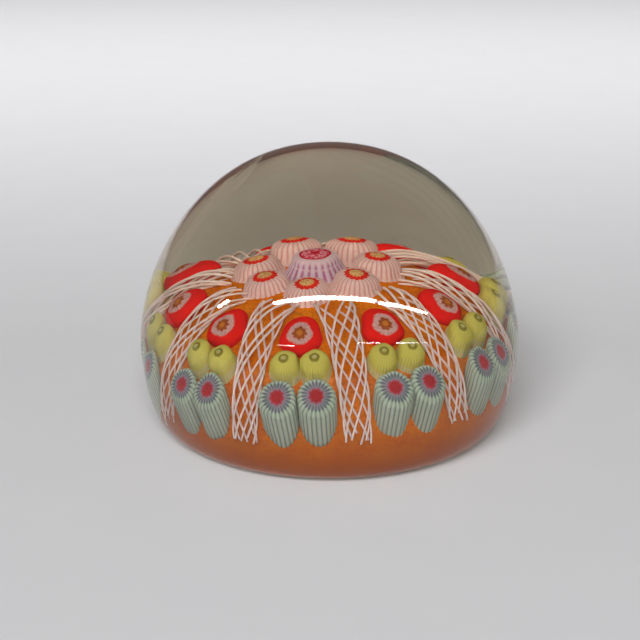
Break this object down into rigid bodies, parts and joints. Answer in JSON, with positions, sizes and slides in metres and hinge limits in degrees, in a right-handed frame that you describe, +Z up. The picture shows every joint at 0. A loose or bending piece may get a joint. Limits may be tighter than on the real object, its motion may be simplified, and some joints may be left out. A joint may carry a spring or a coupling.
{
  "type": "glass paperweight",
  "caption": "Domed clear glass paperweight with a patterned set-up of coloured canes and white twists over an orange ground, resting on a flat base.",
  "frame": {"origin": "on the glass axis, on the flat surface that the weight rests on", "axes": "+Z up along the glass axis; -Y towards the side with the front panel of canes; +X to the right seen from there"},
  "size_m": [0.072, 0.072, 0.053],
  "materials": {
    "clear_glass": "polished, colourless with a faint grey-olive tint",
    "orange_glass": "opaque, slightly mottled, sealed under clear glass",
    "lilac_glass": "opaque ribbed cane, crimson face",
    "pink_glass": "opaque ribbed cane, red ring on its face",
    "red_glass": "smooth bright casing, white ring on its face",
    "yellow_glass": "opaque finely ribbed cane",
    "green_glass": "opaque ribbed cane, crimson core on its face",
    "white_glass": "fine white threads twisted in clear glass"
  },
  "bodies": {
    "root": {"clear_dome": "clear_glass", "base_glass": "clear_glass", "orange_ground": "orange_glass", "centre_cane": "lilac_glass", "inner_cane_1": "pink_glass", "inner_cane_2": "pink_glass", "inner_cane_3": "pink_glass", "inner_cane_4": "pink_glass", "inner_cane_5": "pink_glass", "inner_cane_6": "pink_glass", "inner_cane_7": "pink_glass", "red_cane_1": "red_glass", "yellow_pair_1": "yellow_glass", "green_cane_1_left": "green_glass", "green_cane_1_right": "green_glass", "latticino_twist_1": "white_glass", "red_cane_2": "red_glass", "yellow_pair_2": "yellow_glass", "green_cane_2_left": "green_glass", "green_cane_2_right": "green_glass", "latticino_twist_2": "white_glass", "red_cane_3": "red_glass", "yellow_pair_3": "yellow_glass", "green_cane_3_left": "green_glass", "green_cane_3_right": "green_glass", "latticino_twist_3": "white_glass", "red_cane_4": "red_glass", "yellow_pair_4": "yellow_glass", "green_cane_4_left": "green_glass", "green_cane_4_right": "green_glass", "latticino_twist_4": "white_glass", "red_cane_5": "red_glass", "yellow_pair_5": "yellow_glass", "green_cane_5_left": "green_glass", "green_cane_5_right": "green_glass", "latticino_twist_5": "white_glass", "red_cane_6": "red_glass", "yellow_pair_6": "yellow_glass", "green_cane_6_left": "green_glass", "green_cane_6_right": "green_glass", "latticino_twist_6": "white_glass", "red_cane_7": "red_glass", "yellow_pair_7": "yellow_glass", "green_cane_7_left": "green_glass", "green_cane_7_right": "green_glass", "latticino_twist_7": "white_glass", "red_cane_8": "red_glass", "yellow_pair_8": "yellow_glass", "green_cane_8_left": "green_glass", "green_cane_8_right": "green_glass", "latticino_twist_8": "white_glass", "red_cane_9": "red_glass", "yellow_pair_9": "yellow_glass", "green_cane_9_left": "green_glass", "green_cane_9_right": "green_glass", "latticino_twist_9": "white_glass"}
  },
  "joints": []
}
